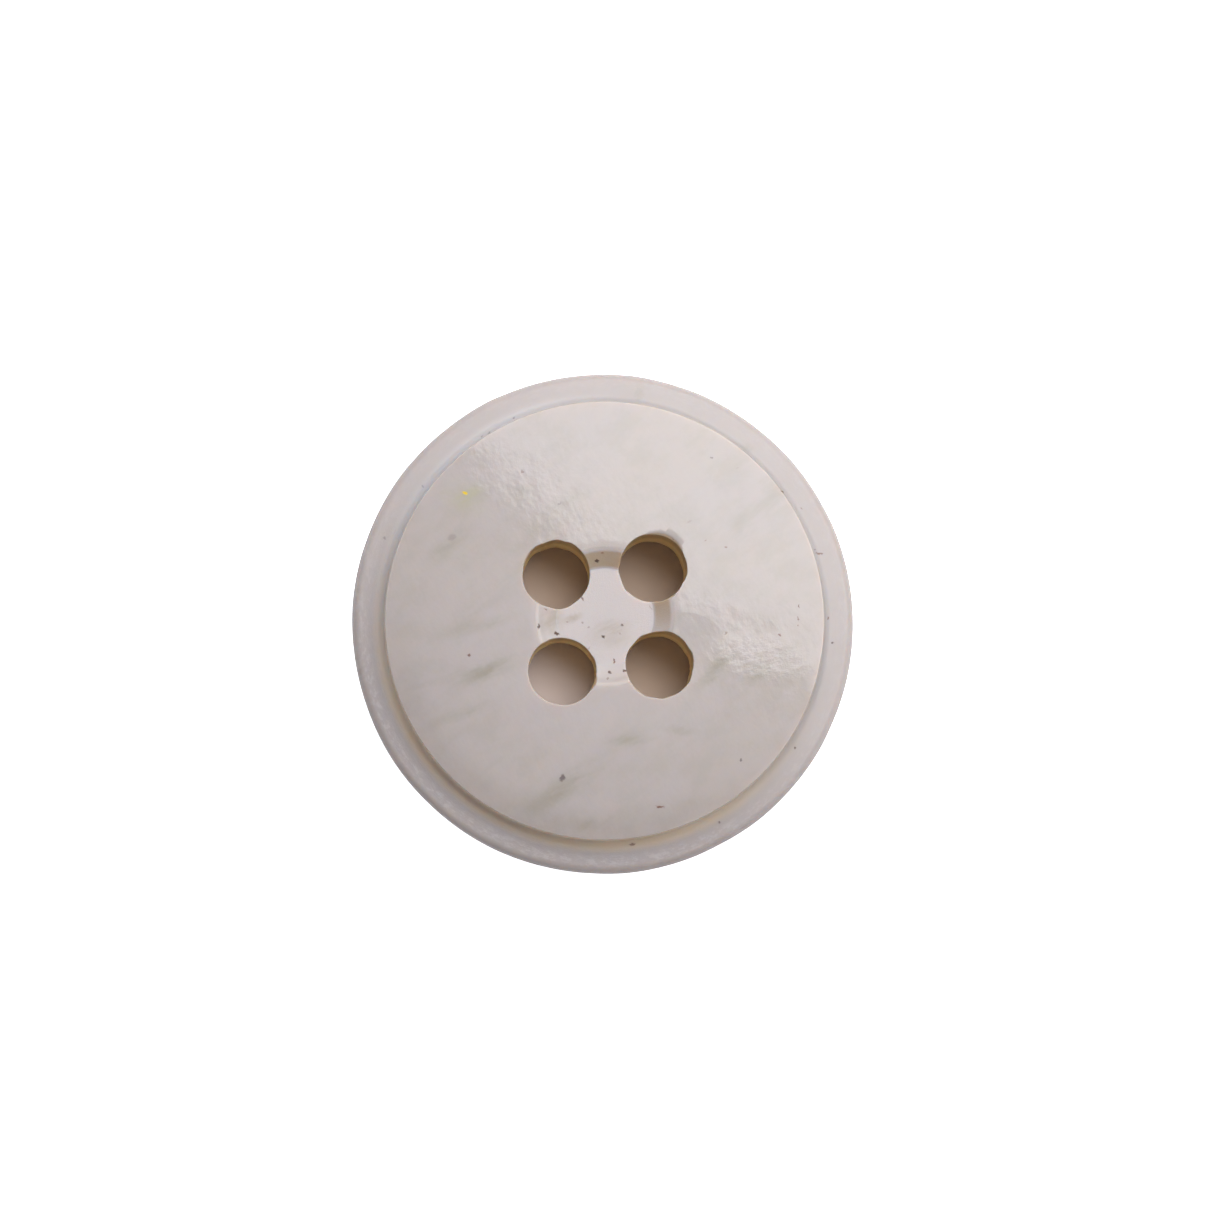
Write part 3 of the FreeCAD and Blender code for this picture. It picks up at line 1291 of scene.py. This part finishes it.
def bone_marks() -> dict[Tint, tuple[Mark, ...]]:
    """Lists the pores, flecks and stains that this button has on its front.

    Returns:
        The marks by colour.
    """
    return {
        Tint.LICHEN: (
            Mark(-4.3, -1.6, 2.4, 0.55, 15, 0.7),
            Mark(-4.9, -1.5, 5.2, 0.30, 13, 0.35),
            Mark(-5.1, -2.95, 2.2, 0.45, 14, 0.45),
            Mark(-4.3, 0.1, 2.8, 0.5, 10, 0.4),
            Mark(0.6, -4.3, 1.7, 0.4, 0, 0.6),
            Mark(-1.8, -5.85, 3.8, 0.9, 30, 0.65),
            Mark(-1.15, -7.2, 0.8, 0.5, 10, 0.5),
            Mark(3.8, -2.05, 1.3, 0.5, 40, 0.8),
            Mark(5.2, -2.3, 1.3, 0.5, 30, 0.6),
            Mark(1.85, 8.1, 0.6, 0.35, 60, 0.6),
            Mark(5.55, 5.9, 0.5, 0.4, 0, 0.5),
            Mark(-5.4, 3.0, 2.0, 0.7, 40, 0.4),
            Mark(2.4, -4.1, 1.6, 0.35, -12, 0.35),
        ),
        Tint.SAND: (
            Mark(0.25, -0.25, 1.3, 0.5, 4, 0.75),
            Mark(-1.9, 0.2, 0.9, 1.8, 0, 0.7),
            Mark(0.15, -0.65, 1.9, 0.7, 0, 0.4),
            Mark(-1.1, 0.15, 0.7, 0.3, 15, 0.6),
            Mark(0.3, -2.1, 1.3, 0.4, 0, 0.25),
        ),
        Tint.PRIMROSE: (Mark(-4.6, 4.75, 1.6, 1.1, -30, 0.7),),
        Tint.YELLOW: (Mark(-4.65, 4.85, 0.26, 0.12, -32, 0.95),),
        Tint.SHADOW: (
            Mark(-1.85, -5.5, 0.30, 0.19, 68, 0.85),
            Mark(-5.2, 3.3, 0.35, 0.22, 20, 0.25),
            Mark(4.53, -5.27, 0.11, 0.10, 0, 0.8),
            Mark(4.22, 5.57, 0.10, 0.08, 0, 0.6),
            Mark(-1.32, 4.23, 0.12, 0.10, 0, 0.35),
            Mark(-6.14, 5.28, 0.12, 0.09, 0, 0.5),
            Mark(-7.62, 3.52, 0.14, 0.10, 0, 0.5),
            Mark(-2.73, 7.53, 0.10, 0.10, 0, 0.6),
            Mark(-3.92, 6.93, 0.13, 0.09, 30, 0.6),
            Mark(-3.63, 7.02, 0.13, 0.09, 30, 0.6),
            Mark(3.66, -7.41, 0.13, 0.12, 0, 0.8),
        ),
        Tint.RUST: (
            Mark(-4.86, -0.95, 0.15, 0.12, 0, 0.8),
            Mark(1.55, -6.74, 0.32, 0.09, -5, 0.85),
            Mark(6.2, -0.93, 0.12, 0.11, 0, 0.8),
            Mark(-2.55, 5.48, 0.14, 0.11, -30, 0.5),
            Mark(6.98, 0.05, 0.15, 0.06, 90, 0.8),
            Mark(6.92, -0.38, 0.15, 0.06, 90, 0.7),
            Mark(6.9, -0.62, 0.08, 0.05, 90, 0.7),
            Mark(7.37, 3.63, 0.16, 0.07, -60, 0.6),
            Mark(7.91, 1.95, 0.34, 0.09, -8, 0.8),
            Mark(7.75, 2.1, 0.14, 0.06, 0, 0.6),
            Mark(8.04, -0.39, 0.16, 0.06, 90, 0.8),
            Mark(0.51, -7.99, 0.30, 0.10, 5, 0.7),
            Mark(4.5, 2.3, 0.10, 0.08, 0, 0.5),
            Mark(3.8, 2.6, 0.12, 0.07, 40, 0.4),
            Mark(4.3, -0.75, 0.12, 0.07, 0, 0.5),
            Mark(0.27, -1.46, 0.20, 0.06, 88, 0.9),
            Mark(0.1, 2.38, 0.16, 0.07, 8, 0.6),
            Mark(-0.72, 0.82, 0.26, 0.06, -62, 0.8),
            Mark(-2.05, 0.5, 0.18, 0.06, -45, 0.6),
            Mark(-0.6, -0.95, 0.12, 0.07, 40, 0.35),
            Mark(-0.77, -0.03, 0.10, 0.08, 90, 0.5),
            Mark(-1.3, 0.04, 0.08, 0.07, 0, 0.5),
            Mark(-0.55, -0.2, 0.09, 0.06, 0, 0.4),
            Mark(1.7, 0.35, 0.18, 0.05, -60, 0.45),
            Mark(0.55, -0.5, 0.10, 0.06, -40, 0.4),
            Mark(0.0, -2.1, 0.09, 0.07, 0, 0.5),
        ),
        Tint.PORE: (
            Mark(6.69, 4.23, 0.15, 0.13, 0, 0.9),
            Mark(8.16, -1.26, 0.12, 0.10, 0, 0.8),
            Mark(6.55, -4.95, 0.13, 0.08, 60, 0.7),
            Mark(-0.13, 2.11, 0.15, 0.13, 0, 0.95),
            Mark(-2.35, -0.1, 0.26, 0.11, 88, 0.95),
            Mark(-1.72, -0.36, 0.19, 0.13, -35, 0.95),
            Mark(-0.06, -0.58, 0.14, 0.11, 0, 0.95),
            Mark(0.64, -0.23, 0.14, 0.09, -30, 0.75),
            Mark(0.07, -1.87, 0.13, 0.11, 0, 0.85),
            Mark(0.61, -1.84, 0.18, 0.09, -25, 0.85),
        ),
    }


def thread_holes() -> list[ThreadHole]:
    """Reads the four thread holes from the record's bore mounts.

    Returns:
        The holes, each with its own chips.
    """
    chips = {
        "upper_left_thread_hole": (Chip(150, 22, 0.09 * MM, 0.08 * MM),),
        "upper_right_thread_hole": (Chip(62, 38, 0.20 * MM, 0.10 * MM), Chip(300, 12, 0.09 * MM, 0.08 * MM)),
        "lower_left_thread_hole": (Chip(335, 16, 0.12 * MM, 0.12 * MM),),
        "lower_right_thread_hole": (Chip(225, 14, 0.08 * MM, 0.06 * MM),),
    }
    holes = []
    for mount in frame["record"]["mounts"]:
        if mount["kind"] == "bore":
            x, y, _ = mount["pos_m"]
            radius = mount["dims"]["r_mm"] * MM
            broken = chips.get(mount["name"], ())
            holes.append(ThreadHole(mount["name"], x, y, radius, broken, seed=11 + len(holes)))
    return holes


def main() -> None:
    """Builds the studio and the button."""
    logging.basicConfig(level=logging.INFO, format="%(name)s: %(message)s")
    studio = Studio()
    studio.place_camera()
    studio.hang_light()
    studio.lay_floor()
    _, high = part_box(CAD_NODE)
    outline = TurnedOutline(outer_radius=high.x)
    holes = thread_holes()
    button = BoneButton(outline, holes)
    piece = button.build()
    finish = BoneFinish(outline, holes, bone_marks())
    piece.data.materials.clear()
    piece.data.materials.append(finish.material())
    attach(piece, "root")
    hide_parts(CAD_NODE)
    LOG.info("%s: %d triangles", piece.name, sum(len(f.vertices) - 2 for f in piece.data.polygons))


if __name__ == "__main__":
    main()
